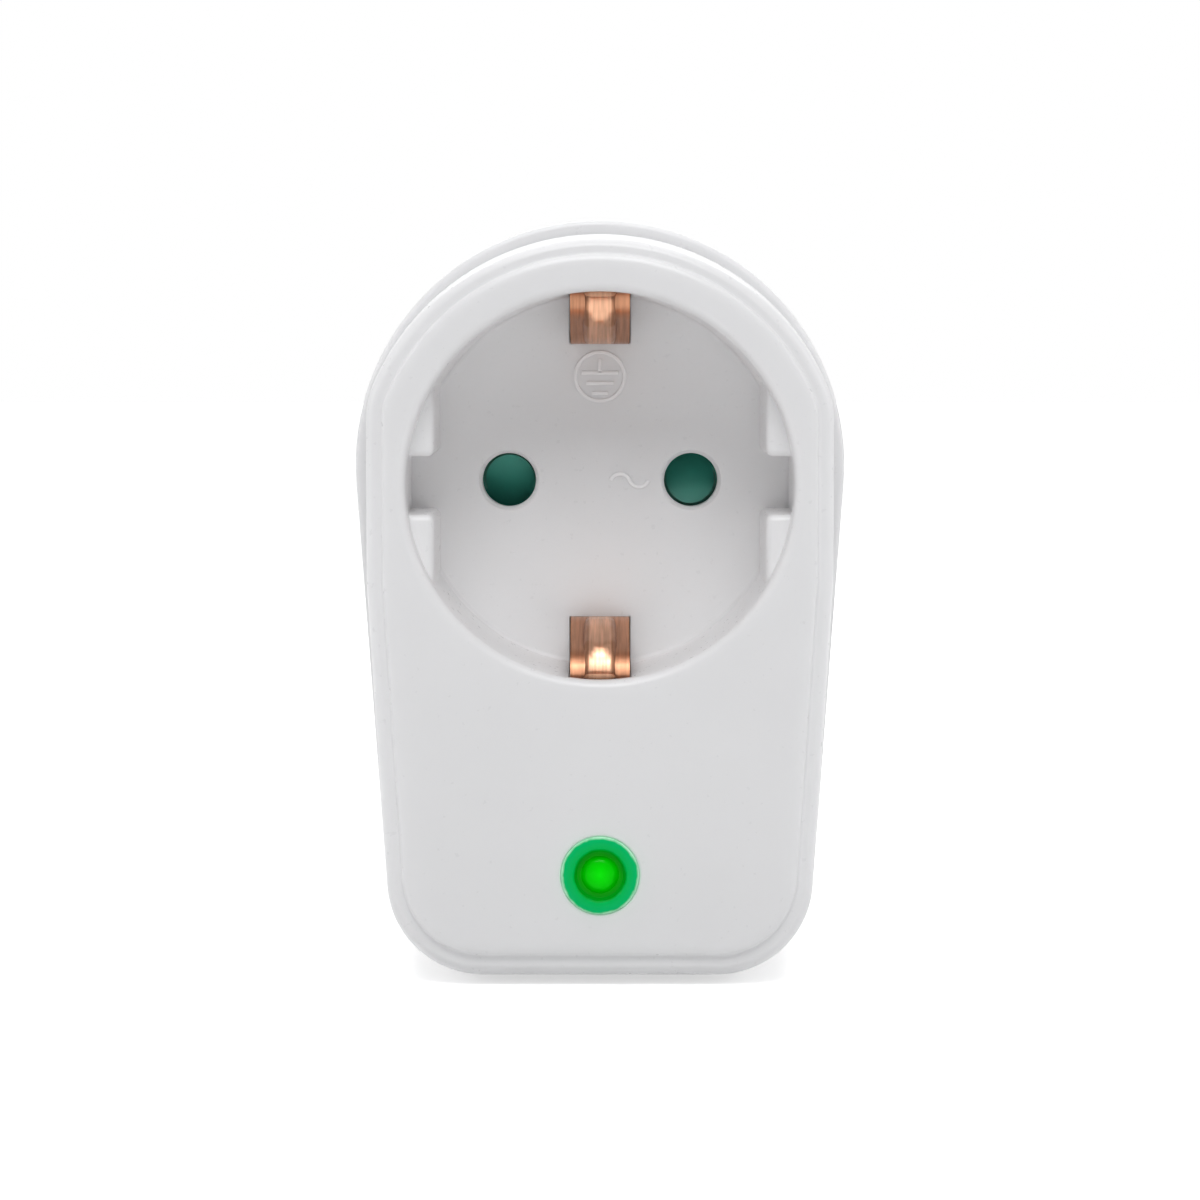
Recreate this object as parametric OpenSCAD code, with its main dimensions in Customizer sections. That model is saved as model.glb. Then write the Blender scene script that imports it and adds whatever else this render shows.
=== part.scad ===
// Plug-in surge protection adapter with one earthed socket.
// Frame: X to the right, Y from the front face towards the wall, Z up.
// The origin lies on the common axis of socket and plug, in the plane that meets the wall plate.
// A "depth" is counted from the front face towards the wall.

/* [Socket] */
// Distance between the two pin axes
pin_pitch = 19; // [18.6:0.1:19.6]
// Recess diameter at its mouth
recess_mouth = 39; // [38.6:0.1:40]
// Depth of the recess floor behind the front face
recess_depth = 17.5; // [16.5:0.1:18.5]
// Inward draft of the recess wall, in degrees
recess_draft = 1.5; // [0.5:0.1:2]
// Radius of the rounded recess rim
rim_round = 0.9; // [0.5:0.1:1.2]
// Diameter of the two pin entry holes
entry_hole = 5.6; // [5.2:0.1:6]
// Chamfer round each entry hole
entry_chamfer = 0.35; // [0.2:0.05:0.5]
// Distance between the flat guide faces left and right
guide_gap = 33.4; // [33:0.1:34]
// Depth at which the guide blocks begin
guide_start = 3; // [2:0.5:5]
// Height of the key slot between two guide blocks
key_slot = 5.9; // [5.5:0.1:6.5]
// Thickness of the recess wall
cup_wall = 1.6; // [1.5:0.1:1.8]
// Thickness of the recess floor
cup_floor = 2.3; // [1.8:0.1:2.8]

/* [Housing] */
// Depth of the housing from the front face to the wall face
body_depth = 38; // [37:0.5:42]
// Depth of the parting line between the two shells
seam_depth = 15; // [13:0.5:17]
// Wall thickness of both shells
wall = 2.2; // [1.8:0.1:2.4]
// Width of the front shell's round top outside the recess
rim_width = 6.1; // [5.9:0.1:6.9]
// Amount by which the flat sides of the front shell lie inside its round top
side_inset = 1.4; // [0.8:0.1:1.6]
// Half width of the rear shell, and radius of its round top
rear_half_width = 25.45; // [25.4:0.05:26.5]
// Height of the rear shell above the socket axis
rear_top = 27; // [26.6:0.1:28]
// Distance from the socket axis to the flat base
base_drop = 50.5; // [49.5:0.5:54]
// Radius that blends the round top into the flat sides of the front shell
shoulder_radius = 8; // [7:0.5:10]
// Height below the axis at which the flat sides begin to taper
taper_start = 9.5; // [6:0.5:14]
// Radius of the lower corners
corner_radius = 10.6; // [9:0.2:12]
// Distance between the centres of the lower corners
corner_span = 23.8; // [23:0.2:26]
// Amount by which the front shell lies inside the rear shell at the base
base_step = 0.2; // [0.1:0.1:0.6]
// Draft of the front shell from the parting line to the front
front_draft = 0.7; // [0.3:0.1:1]
// Height of the raised face above the ledge round it
face_step = 0.85; // [0.5:0.05:1.2]
// Inset of the raised face from the outline at the parting line
face_inset = 2.5; // [2.3:0.1:3]
// Depth of the rounded front edge
edge_round = 1.55; // [1:0.05:2]
// Amount by which the raised face stops short of the base
face_lift = 0.6; // [0:0.1:1]
// Radius of the rounded edge at the wall side
rear_round = 2.5; // [1:0.1:3]

/* [Plug] */
// Diameter of the plug body
plug_diameter = 36.8; // [36.2:0.1:37]
// Length of the plug body beyond the wall face
plug_length = 17.5; // [17:0.1:18]
// Distance between the side flats of the plug body
plug_flats = 32.4; // [32:0.1:33]
// Height of the side ribs of the plug body
plug_rib = 5.4; // [5:0.1:5.6]
// Thickness of the end wall of the plug body
plug_end_wall = 3; // [2.5:0.1:4]
// Diameter of the plug pins
pin_diameter = 4.8; // [4.6:0.02:4.86]
// Length of the plug pins beyond the plug body
pin_length = 19; // [18.5:0.1:19.5]

/* [Contacts] */
// Thickness of the contact strips
strip_thick = 0.6; // [0.4:0.05:0.7]
// Width of the earth contact strips
earth_width = 5.3; // [4.8:0.1:5.6]
// Width of the pressed rib along the front of each earth strip
rib_width = 2.3; // [2:0.1:2.6]
// Height of that rib above the strip
rib_height = 0.4; // [0.3:0.05:0.5]
// Width of the bridge between the earth strips
bridge_width = 4; // [3:0.1:4.6]
// Distance from the axis to the middle of the straight earth strip
earth_radius = 17; // [16.8:0.05:17.2]
// Distance from the axis to the contact bump of the earth strip
earth_bump = 15; // [14.8:0.1:15.8]
// Length of the contact leaves
leaf_length = 9.8; // [9:0.1:11]
// Height of the contact leaves
leaf_height = 5.2; // [4.4:0.2:5.6]
// Gap between the leaves where they grip a pin
leaf_gap = 4.1; // [3.8:0.1:4.4]

/* [Shutter] */
// Depth of the shutter arms
shutter_thick = 4.4; // [4:0.1:5]
// Half height of a shutter arm
arm_half = 3.2; // [3:0.1:3.3]
// Diameter of the pivot post
pivot_diameter = 4; // [3.4:0.1:4.2]
// Radial clearance of the shutter on its post
pivot_clearance = 0.06; // [0.04:0.01:0.08]
// Wall of the shutter hub round its post
hub_wall = 1.8; // [1.4:0.1:2]
// Flat thickness left behind the top of each ramp
ramp_land = 1.2; // [1:0.1:1.6]
// Wire diameter of the return spring
spring_wire = 0.4; // [0.3:0.05:0.5]

/* [Surge board] */
// Thickness of the circuit board
board_thick = 1.6; // [1:0.1:2]
// Half width of the circuit board
board_half_width = 18; // [17.5:0.1:18.6]
// Diameter of a varistor disc
varistor_diameter = 14.6; // [13:0.1:15.2]
// Thickness of a varistor disc
varistor_thick = 4.4; // [3.6:0.1:4.8]
// Length of the lamp's resistor
resistor_length = 6.3; // [5:0.1:6.5]
// Diameter of the lamp's resistor
resistor_diameter = 2.4; // [2:0.1:2.6]
// Length of the lamp's diode
diode_length = 5.2; // [4.2:0.1:5.6]
// Diameter of the lamp's diode
diode_diameter = 2.6; // [2:0.1:2.7]
// Length of the thermal fuse
fuse_length = 9; // [8:0.1:10]
// Diameter of the thermal fuse
fuse_diameter = 4; // [3.4:0.1:4.2]
// Diameter of the insulated wires
wire_diameter = 1.8; // [1.4:0.1:2]

/* [Indicator] */
// Height of the indicator below the socket axis
lens_drop = 39.15; // [38.6:0.1:40]
// Diameter of the visible lens
lens_diameter = 7.7; // [7.2:0.1:8]
// Amount by which the lens stands proud of the face
lens_proud = 0.25; // [0.1:0.05:0.5]
// Diameter of the lamp inside the lens
led_diameter = 5; // [4.6:0.1:5.2]

/* [Fasteners] */
// Diameter of the screw shanks
screw_diameter = 2.8; // [2.4:0.1:3]
// Diameter of the screw heads
screw_head = 4.6; // [4.2:0.1:4.7]
// Clearance between moulded pieces that are put together
fit_gap = 0.15; // [0.1:0.05:0.2]

/* [Hidden] */

$fn = 64;
SIDES = [-1, 1];
skin = 0.02;
over = 1;
pin_x = pin_pitch / 2;

// Depths in order from the front face to the pin tips
floor_back = recess_depth + cup_floor;
shutter_front = floor_back + 0.4;
arm_back = shutter_front + shutter_thick;
neck_end = arm_back + 4 * spring_wire + 0.1;
carrier_front = neck_end + 0.3;
carrier_thick = 1.8;
carrier_back = carrier_front + carrier_thick;
tower_end = carrier_back + leaf_length + 0.2;
contact_base = tower_end + 0.2 + strip_thick / 2;
rear_wall = body_depth - wall;
plug_end = body_depth + plug_length;
plug_floor = plug_end - plug_end_wall;
rear_room = rear_wall - carrier_back;

// Recess and the cup round it
mouth_radius = recess_mouth / 2;
floor_radius = mouth_radius - recess_depth * tan(recess_draft);
cup_radius = mouth_radius + cup_wall;
front_top_radius = mouth_radius + rim_width;
entry_radius = entry_hole / 2;
key_reach = floor_radius + 0.65;

// Outlines of the two shells: belts round circles, each [x, z, radius], clockwise from the top
corner_x = corner_span / 2;
corner_z = corner_radius - base_drop;
shoulder_x = front_top_radius - side_inset - shoulder_radius;
shoulder_z = sqrt(pow(front_top_radius - shoulder_radius, 2) - pow(shoulder_x, 2));
front_belt = front_belt_lifted(0);
rear_belt = [[0, rear_top - rear_half_width, rear_half_width],
    [corner_x, corner_z, corner_radius], [-corner_x, corner_z, corner_radius]];
ledge_inset = face_inset - 0.8;
seam_chamfer = 0.3;
seam_gap = 0.1;
lip_length = 1.8;
lip_inset = 1.2;
rear_edge = 0.6;
step_angle = 8;

// Plug body
plug_radius = plug_diameter / 2;
pin_radius = pin_diameter / 2;
plug_hollow = plug_radius - wall;
plug_hollow_x = plug_flats / 2 - wall;
channel_floor = earth_radius - strip_thick / 2 - 0.05;
channel_half = earth_width / 2 + 0.25;
plug_hollow_z = channel_floor - 2;
strip_out = earth_radius + strip_thick / 2;
shank_radius = pin_radius + 0.4;
collar_radius = pin_radius + 0.9;
collar_front = plug_floor - 0.8;
tail_radius = 1.5;
eyelet_depth = collar_front - strip_thick / 2;

// Earth slots in the recess
slot_half = earth_width / 2 + 0.55;
slot_inner = earth_bump - 0.7;
slot_outer = mouth_radius + 1;
slot_start = 1.8;

// Contact carrier
skirt_inner = 14.2;
skirt_wall = 1.6;
carrier_radius = plug_radius;
tower_wall = 0.9;
tower_x = leaf_gap / 2 + strip_thick + 0.55;
tower_z = leaf_height / 2 + 0.35;
rest_radius = 1.2;
rest_place = 17;
rest_angle = 25;

// Screw places as [x, z], the upper pair and the lower pair
screw_radius = screw_diameter / 2;
head_radius = screw_head / 2;
sink_radius = head_radius + 0.2;
tube_radius = screw_radius + 1.2;
sink_wall = 1;
upper_reach = cup_radius + 0.1;
upper_screw = upper_reach * sin(45);
lower_screw_x = corner_x + 2.6;
lower_screw_z = corner_z - 2.6;
head_seat = carrier_back + 1.1;
head_height = 1.6;
screw_tip = 12.2;
upper_joint = floor_back + 0.2;

// Surge board
board_front = floor_back + 2.6;
board_back = board_front + board_thick;
board_top = -(cup_radius + 2.7);
board_bottom = corner_z - 6.6;
varistor_radius = varistor_diameter / 2;
varistor_depth = board_front - 1.6 - varistor_radius;
varistor_z = -(cup_radius + 2.2 + varistor_radius);
lead_spread = 3.75;
near_x = 6.8;
far_x = 13.3;
lead_radius = 0.4;
led_part_x = resistor_diameter / 2 + 0.7;
led_part_z = board_top - resistor_length / 2 - 2.55;
led_part_spread = resistor_length / 2 + 0.85;
fuse_spread = fuse_length / 2 + 1.3;
fuse_x = 0.5 - far_x;
lead_end = board_back + 1;
wire_radius = wire_diameter / 2;

// Indicator
lens_radius = lens_diameter / 2;
lens_seat = 2.8;
flange_radius = lens_radius + 0.75;
flange_thick = 0.8;
lens_tail = 8.6;
led_radius = led_diameter / 2;
led_tip = 1.2;
led_foot = lens_tail + 0.2;

// Depth to Y
function back(d) = d - body_depth;
function unit(v) = v / norm(v);

// Unit direction of a path at one of its points
function heading(path, i) =
    unit(path[min(i + 1, len(path) - 1)] - path[max(i - 1, 0)]);

// Mitred sideways offset of a flat path at one of its points
function sideways(path, i) =
    let (last = len(path) - 1,
         a = unit(path[max(i, 1)] - path[max(i, 1) - 1]),
         b = unit(path[min(i, last - 1) + 1] - path[min(i, last - 1)]),
         m = unit([-a[1] - b[1], a[0] + b[0]]))
    m / (m * [-a[1], a[0]]);

// Closed outline of a strip of sheet that follows a flat path
function ribbon(path, t) = concat(
    [for (i = [0 : len(path) - 1]) path[i] + sideways(path, i) * t / 2],
    [for (i = [len(path) - 1 : -1 : 0]) path[i] - sideways(path, i) * t / 2]);

// The same path with each corner bent to a small radius
function bent(path, r, steps = 4) = concat([path[0]],
    [for (i = [1 : len(path) - 2])
        let (p = path[i], a = unit(p - path[i - 1]), b = unit(path[i + 1] - p),
             reach = min(r, norm(p - path[i - 1]) / 2.1, norm(path[i + 1] - p) / 2.1))
        for (k = [0 : steps])
            let (u = k / steps)
            p - a * reach * pow(1 - u, 2) + b * reach * pow(u, 2)],
    [path[len(path) - 1]]);

// Outline in X and Z, pushed back from a depth
module slab(d, t) {
    translate([0, back(d + t), 0]) rotate([90, 0, 0]) linear_extrude(t) children();
}

// Round bar along the depth
module rod(d, length, r, x = 0, z = 0) {
    translate([x, back(d + length), z]) rotate([90, 0, 0]) cylinder(h = length, r = r);
}

// Cone along the depth
module cone(d, length, front_r, back_r, x = 0, z = 0) {
    translate([x, back(d + length), z]) rotate([90, 0, 0])
        cylinder(h = length, r1 = back_r, r2 = front_r);
}

// Box between two values on X, depth and Z
module block(x, d, z) {
    translate([x[0], back(d[0]), z[0]]) cube([x[1] - x[0], d[1] - d[0], z[1] - z[0]]);
}

// Sheet whose bent edge shows from the side
module side_sheet(path, t, width, x = 0) {
    translate([x, back(0), 0]) rotate([90, 0, 90])
        linear_extrude(width, center = true) polygon(ribbon(path, t));
}

// Sheet whose bent edge shows from above
module top_sheet(path, t, height) {
    translate([0, back(0), 0]) linear_extrude(height, center = true) polygon(ribbon(path, t));
}

// Round wire that follows a path in space
module tube(path, r, upright = [0, 0, 1], n = 8) {
    m = len(path);
    rings = [for (i = [0 : m - 1])
        let (t = heading(path, i), s = unit(cross(t, upright)), u = cross(s, t))
        for (k = [0 : n - 1]) path[i] + r * (cos(360 * k / n) * s + sin(360 * k / n) * u)];
    walls = [for (i = [0 : m - 2], k = [0 : n - 1])
        let (a = i * n + k, b = i * n + (k + 1) % n)
        each [[a, b, b + n], [a, b + n, a + n]]];
    start = [for (k = [n - 1 : -1 : 0]) k];
    end = [for (k = [0 : n - 1]) (m - 1) * n + k];
    polyhedron(rings, concat([start, end], walls));
}

// A rough path with its corners cut twice
function cut_corners(p) = concat([p[0]],
    [for (i = [0 : len(p) - 2]) each [p[i] * 0.75 + p[i + 1] * 0.25, p[i] * 0.25 + p[i + 1] * 0.75]],
    [p[len(p) - 1]]);
function supple(p) = cut_corners(cut_corners(p));

// The front shell's belt, with its lower corners raised by a lift
function front_belt_lifted(lift) = let (r = corner_radius - base_step, z = corner_z + lift) [
    [0, 0, front_top_radius],
    [shoulder_x, shoulder_z, shoulder_radius], [shoulder_x, -taper_start, shoulder_radius],
    [corner_x, z, r], [-corner_x, z, r],
    [-shoulder_x, -taper_start, shoulder_radius], [-shoulder_x, shoulder_z, shoulder_radius]];

// Angle of the outward normal where the belt leaves one circle for the next
function leaving(belt, i) =
    let (a = belt[i], b = belt[(i + 1) % len(belt)], run = [b[0] - a[0], b[1] - a[1]])
    atan2(run[1], run[0]) + acos(min(1, (a[2] - b[2]) / norm(run)));
function arriving(belt, i) = leaving(belt, (i + len(belt) - 1) % len(belt));
function wrap(belt, i) = (arriving(belt, i) - leaving(belt, i) + 720) % 360;

// Number of steps in each round stretch of a belt, about 8 degrees each
function belt_steps(belt) = [for (i = [0 : len(belt) - 1]) max(1, ceil(wrap(belt, i) / step_angle))];

// The belt's outline as a list of points, shrunk by an inset
function belt_points(belt, inset, steps) = [for (i = [0 : len(belt) - 1], k = [0 : steps[i]])
    let (a = arriving(belt, i) - wrap(belt, i) * k / steps[i], r = belt[i][2] - inset)
    [belt[i][0] + r * cos(a), belt[i][1] + r * sin(a)]];

// Loft through rings of points: each ring follows the last, and both ends are closed flat
module loft(rings) {
    n = len(rings[0]);
    last = (len(rings) - 1) * n;
    walls = [for (j = [0 : len(rings) - 2], k = [0 : n - 1])
        let (a = j * n + k, b = j * n + (k + 1) % n) [a, a + n, b + n, b]];
    polyhedron([for (ring = rings) each ring],
        concat([[for (k = [0 : n - 1]) k]], [[for (k = [n - 1 : -1 : 0]) last + k]], walls));
}

// Ring of a shell in space, at an inset and a depth
function ring(belt, steps, inset, d) = [for (p = belt_points(belt, inset, steps)) [p[0], back(d), p[1]]];

// Quarter of an ellipse from [0, 0] outwards, as points
function quarter(wide, deep, steps) = [for (k = [0 : steps])
    [wide * (1 - cos(90 * k / steps)), deep * sin(90 * k / steps)]];

// Section of the front shell as [inset, depth, lift of the lower corners]: raised face, ledge,
// rounded edge, drafted side, butt joint, lip and inner wall
function front_section() = concat(
    [[face_inset + 0.35, 0, face_lift], [face_inset + 0.1, 0.1, face_lift],
        [face_inset, 0.35, face_lift], [face_inset - 0.3, face_step, face_lift]],
    [for (k = [5 : -1 : 0]) let (q = quarter(ledge_inset - front_draft, edge_round, 5)[k])
        [front_draft + q[0], face_step + edge_round - q[1], face_lift * q[1] / edge_round / 2]],
    [[0, seam_depth - seam_chamfer, 0], [seam_chamfer, seam_depth, 0], [lip_inset, seam_depth, 0],
        [lip_inset, seam_depth + lip_length, 0], [wall, seam_depth + lip_length, 0],
        [wall + front_draft, lens_seat, 0]]);

// Section of the rear shell as [inset, depth]: inner wall, small front round, large rear round
function rear_section() = let (front = seam_depth + seam_gap) concat(
    [[wall, rear_wall], [wall, front]],
    [for (k = [4 : -1 : 0]) let (q = quarter(rear_edge, rear_edge, 4)[k])
        [q[0], front + rear_edge - q[1]]],
    [for (q = quarter(rear_round, rear_round, 6)) [q[0], body_depth - rear_round + q[1]]]);

module front_shell() {
    steps = belt_steps(front_belt);
    loft([for (q = front_section()) ring(front_belt_lifted(q[2]), steps, q[0], q[1])]);
}

module rear_shell() {
    steps = belt_steps(rear_belt);
    loft([for (q = rear_section()) ring(rear_belt, steps, q[0], q[1])]);
}

// Space of the recess: a drafted cup, less the guide blocks, with key slots and a round rim
module recess_space() {
    difference() {
        union() {
            cone(rim_round, recess_depth - rim_round, mouth_radius, floor_radius);
            rod(-over, over + rim_round + skin, mouth_radius);
        }
        for (x = SIDES, z = SIDES)
            block([min(x * guide_gap / 2, x * 2 * mouth_radius), max(x * guide_gap / 2, x * 2 * mouth_radius)],
                [guide_start, recess_depth + over],
                [min(z * key_slot / 2, z * mouth_radius), max(z * key_slot / 2, z * mouth_radius)]);
    }
    block([-key_reach, key_reach], [guide_start, recess_depth], [-key_slot / 2, key_slot / 2]);
    translate([0, back(0), 0]) rotate([90, 0, 0]) rotate_extrude() difference() {
        translate([mouth_radius - rim_round, -rim_round]) square([2 * rim_round, 2 * rim_round]);
        translate([mouth_radius + rim_round, -rim_round]) circle(r = rim_round);
    }
}

// Pin holes, earth slots and wall channels of the recess
module recess_cuts() {
    for (x = SIDES) {
        rod(recess_depth - over, cup_floor + 2 * over, entry_radius, x * pin_x);
        cone(recess_depth - skin, entry_chamfer + skin, entry_radius + entry_chamfer, entry_radius, x * pin_x);
    }
    for (s = SIDES)
        mirror([0, 0, s < 0 ? 1 : 0])
            block([-slot_half, slot_half], [slot_start, floor_back + over], [slot_inner, slot_outer]);
}

// Front shell: one moulding
module front_housing() color("white") {
    difference() {
        union() {
            front_shell();
            rod(lens_seat - over, floor_back - lens_seat + over, cup_radius);
            rod(floor_back - over, neck_end - floor_back + over, pivot_diameter / 2);
            rod(lens_seat - over, over + 2 * flange_thick, flange_radius + 1, 0, -lens_drop);
            for (x = SIDES) {
                rod(screw_tip - 2, upper_joint - screw_tip + 2, tube_radius, x * upper_screw, upper_screw);
                rod(lens_seat - over, board_front - lens_seat + over - 0.05, tube_radius,
                    x * lower_screw_x, lower_screw_z);
            }
        }
        recess_space();
        recess_cuts();
        rod(-over, lens_seat + 2 * over, lens_radius + 0.1, 0, -lens_drop);
        rod(lens_seat, 2 * flange_thick + over, flange_radius + 0.1, 0, -lens_drop);
        for (x = SIDES) {
            rod(screw_tip - over, board_front, screw_radius + 0.05, x * upper_screw, upper_screw);
            rod(screw_tip - over, board_front, screw_radius + 0.05, x * lower_screw_x, lower_screw_z);
        }
    }
}

// Plug body with side flats, ribs and a chamfered end
module plug_body() {
    edge = 0.8;
    intersection() {
        union() {
            rod(rear_wall, plug_end - rear_wall - edge, plug_radius);
            cone(plug_end - edge, edge, plug_radius, plug_radius - edge);
        }
        union() {
            slab(rear_wall, plug_end - rear_wall) square([plug_flats, 2 * plug_diameter], center = true);
            slab(rear_wall, plug_end - rear_wall) square([2 * plug_diameter, plug_rib], center = true);
        }
    }
}

// Rear shell: one moulding with the hollow plug body
module rear_housing() color("white") {
    difference() {
        union() {
            difference() {
                rear_shell();
                slab(seam_depth - over, over + lip_length + fit_gap)
                    polygon(belt_points(front_belt, lip_inset - fit_gap, belt_steps(front_belt)));
            }
            plug_body();
            for (x = SIDES) {
                screw_tube(upper_joint, x * upper_screw, upper_screw);
                screw_tube(board_back + 0.05, x * lower_screw_x, lower_screw_z);
                for (z = SIDES) rod(carrier_back, rear_wall - carrier_back + over, rest_radius,
                    x * rest_place * cos(rest_angle), z * rest_place * sin(rest_angle));
            }
        }
        slab(rear_wall - over, plug_floor - rear_wall + over) intersection() {
            circle(r = plug_hollow);
            square([2 * plug_hollow_x, 2 * plug_hollow_z], center = true);
        }
        for (x = SIDES) {
            rod(plug_floor - over, plug_end_wall + 2 * over, shank_radius + 0.03, x * pin_x);
            screw_hole(upper_joint, x * upper_screw, upper_screw);
            screw_hole(board_back, x * lower_screw_x, lower_screw_z);
        }
        for (s = SIDES) mirror([0, 0, s < 0 ? 1 : 0]) {
            block([-channel_half, channel_half], [rear_wall - over, body_depth + over],
                [channel_floor, strip_out + 0.1]);
            block([-channel_half, channel_half], [body_depth, plug_end + over],
                [channel_floor, plug_radius + over]);
            block([-channel_half, channel_half], [plug_end - 1.15, plug_end + over],
                [slot_inner - 1, plug_radius + over]);
            translate([0, back(plug_end - 1.15), channel_floor]) rotate([0, 90, 0])
                cylinder(h = 2 * channel_half, r = 0.7, center = true);
        }
    }
}

// Screw tube of the rear shell, wider round the sunk head
module screw_tube(start, x, z) {
    rod(start, rear_wall - start + over, tube_radius, x, z);
    rod(carrier_back + 0.3, rear_wall - carrier_back + over, sink_radius + sink_wall, x, z);
}

module screw_hole(start, x, z) {
    rod(start - over, body_depth, screw_radius + 0.2, x, z);
    rod(head_seat, body_depth, sink_radius, x, z);
}

// Lens pushed in from behind, with a bore for the lamp
module indicator_lens() color("lime") {
    difference() {
        union() {
            rod(-lens_proud, lens_tail + lens_proud, lens_radius, 0, -lens_drop);
            rod(lens_seat + 0.05, flange_thick, flange_radius, 0, -lens_drop);
        }
        rod(led_tip + led_radius, lens_tail, led_radius + 0.1, 0, -lens_drop);
        translate([0, back(led_tip + led_radius), -lens_drop]) sphere(r = led_radius + 0.1);
    }
}

// Lamp with a domed body, a foot ring and two leads
module led() color("greenyellow") {
    rod(led_tip + led_radius, led_foot - led_tip - led_radius + 0.2, led_radius, 0, -lens_drop);
    translate([0, back(led_tip + led_radius), -lens_drop]) sphere(r = led_radius);
    rod(led_foot, 1, led_radius + 0.4, 0, -lens_drop);
    for (x = SIDES) rod(led_foot + 0.5, lead_end - led_foot - 0.5, 0.25, x * 1.27, -lens_drop);
}

// Round part that lies flat on the board, with a lead at each end
module axial_part(x, z, length, r, spread) {
    d = board_front - r - 0.2;
    translate([x, back(d), z]) {
        cylinder(h = length, r = r, center = true);
        cylinder(h = 2 * spread, r = 0.3, center = true);
    }
    for (s = SIDES) {
        rod(d, lead_end - d, 0.3, x, z + s * spread);
        translate([x, back(d), z + s * spread]) sphere(r = 0.3, $fn = 24);
    }
}

module led_resistor() color("tan")
    axial_part(-led_part_x, led_part_z, resistor_length, resistor_diameter / 2, led_part_spread);
module led_diode() color("dimgray")
    axial_part(led_part_x, led_part_z, diode_length, diode_diameter / 2, led_part_spread);
module thermal_fuse() color("silver")
    axial_part(fuse_x, varistor_z, fuse_length, fuse_diameter / 2, fuse_spread);

// One disc varistor that stands on its two leads
module varistor(x) {
    edge = 1.2;
    translate([x, back(varistor_depth), varistor_z]) rotate([0, 90, 0]) rotate_extrude() {
        square([varistor_radius - edge, varistor_thick / 2]);
        translate([0, -varistor_thick / 2]) square([varistor_radius - edge, varistor_thick / 2]);
        translate([varistor_radius - edge - skin, edge - varistor_thick / 2])
            square([edge + skin, varistor_thick - 2 * edge]);
        for (s = SIDES) intersection() {
            translate([varistor_radius - edge, s * (varistor_thick / 2 - edge)]) circle(r = edge);
            translate([0, -varistor_thick]) square([varistor_radius, 2 * varistor_thick]);
        }
    }
    for (s = SIDES)
        rod(varistor_depth + varistor_radius / 2, lead_end - varistor_depth - varistor_radius / 2,
            lead_radius, x + s * 0.8, varistor_z + s * lead_spread);
}

module varistor_line_neutral() color("royalblue") varistor(-near_x);
module varistor_neutral_earth() color("royalblue") varistor(near_x);
module varistor_line_earth() color("royalblue") varistor(far_x);

// Circuit board with a hole for each lead and each screw
module surge_board() color("darkgreen") {
    difference() {
        slab(board_front, board_thick) intersection() {
            translate([-board_half_width, board_bottom])
                square([2 * board_half_width, board_top - board_bottom]);
            polygon(belt_points(rear_belt, wall + 0.5, belt_steps(rear_belt)));
        }
        for (x = SIDES) {
            rod(board_front - over, board_thick + 2 * over, screw_radius + 0.3,
                x * lower_screw_x, lower_screw_z);
            rod(board_front - over, board_thick + 2 * over, 0.35, x * 1.27, -lens_drop);
            for (s = SIDES) rod(board_front - over, board_thick + 2 * over, 0.4,
                x * led_part_x, led_part_z + s * led_part_spread);
        }
        for (s = SIDES) {
            for (x = [-near_x, near_x, far_x])
                rod(board_front - over, board_thick + 2 * over, 0.5, x + s * 0.8, varistor_z + s * lead_spread);
            rod(board_front - over, board_thick + 2 * over, 0.4, fuse_x, varistor_z + s * fuse_spread);
        }
    }
}

// Rotary shutter: a hub on the pivot post and two arms whose ramps turn it when both are pushed
module shutter() color("darkslategray") {
    hub_radius = pivot_diameter / 2 + hub_wall;
    arm_reach = pin_x + entry_radius + 0.5;
    ramp = shutter_thick - ramp_land;
    difference() {
        union() {
            rod(shutter_front, shutter_thick, hub_radius);
            rod(arm_back - skin, neck_end - arm_back, pivot_diameter / 2 + 0.7);
            for (s = SIDES) rotate([0, s < 0 ? 180 : 0, 0]) intersection() {
                translate([0, back(0), 0]) rotate([90, 0, 90]) linear_extrude(arm_reach) polygon([
                    [shutter_front, -arm_half], [shutter_front + ramp, arm_half],
                    [arm_back, arm_half], [arm_back, -arm_half]]);
                rod(shutter_front - over, shutter_thick + 2 * over, arm_reach);
            }
        }
        rod(shutter_front - over, neck_end, pivot_diameter / 2 + pivot_clearance);
    }
}

// Torsion spring: turns round the hub neck and two straight legs
coil_turns = 2.5;
coil_radius = pivot_diameter / 2 + 1.05 + spring_wire / 2;
coil_start = arm_back + 0.15 + spring_wire / 2;
coil_rise = 3 * spring_wire - 0.2;
coil_steps = 30;
coil_leg = 3.5;
function on_coil(u) = [coil_radius * cos(360 * coil_turns * u), back(coil_start + coil_rise * u),
    coil_radius * sin(360 * coil_turns * u)];

module shutter_spring() color("silver") {
    path = concat(
        [on_coil(0) - [0, 0, coil_leg]],
        [for (k = [0 : coil_steps]) on_coil(k / coil_steps)],
        [on_coil(1) - [0, 0, coil_leg]]);
    tube(path, spring_wire / 2, [0, 1, 0], 8);
}

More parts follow.
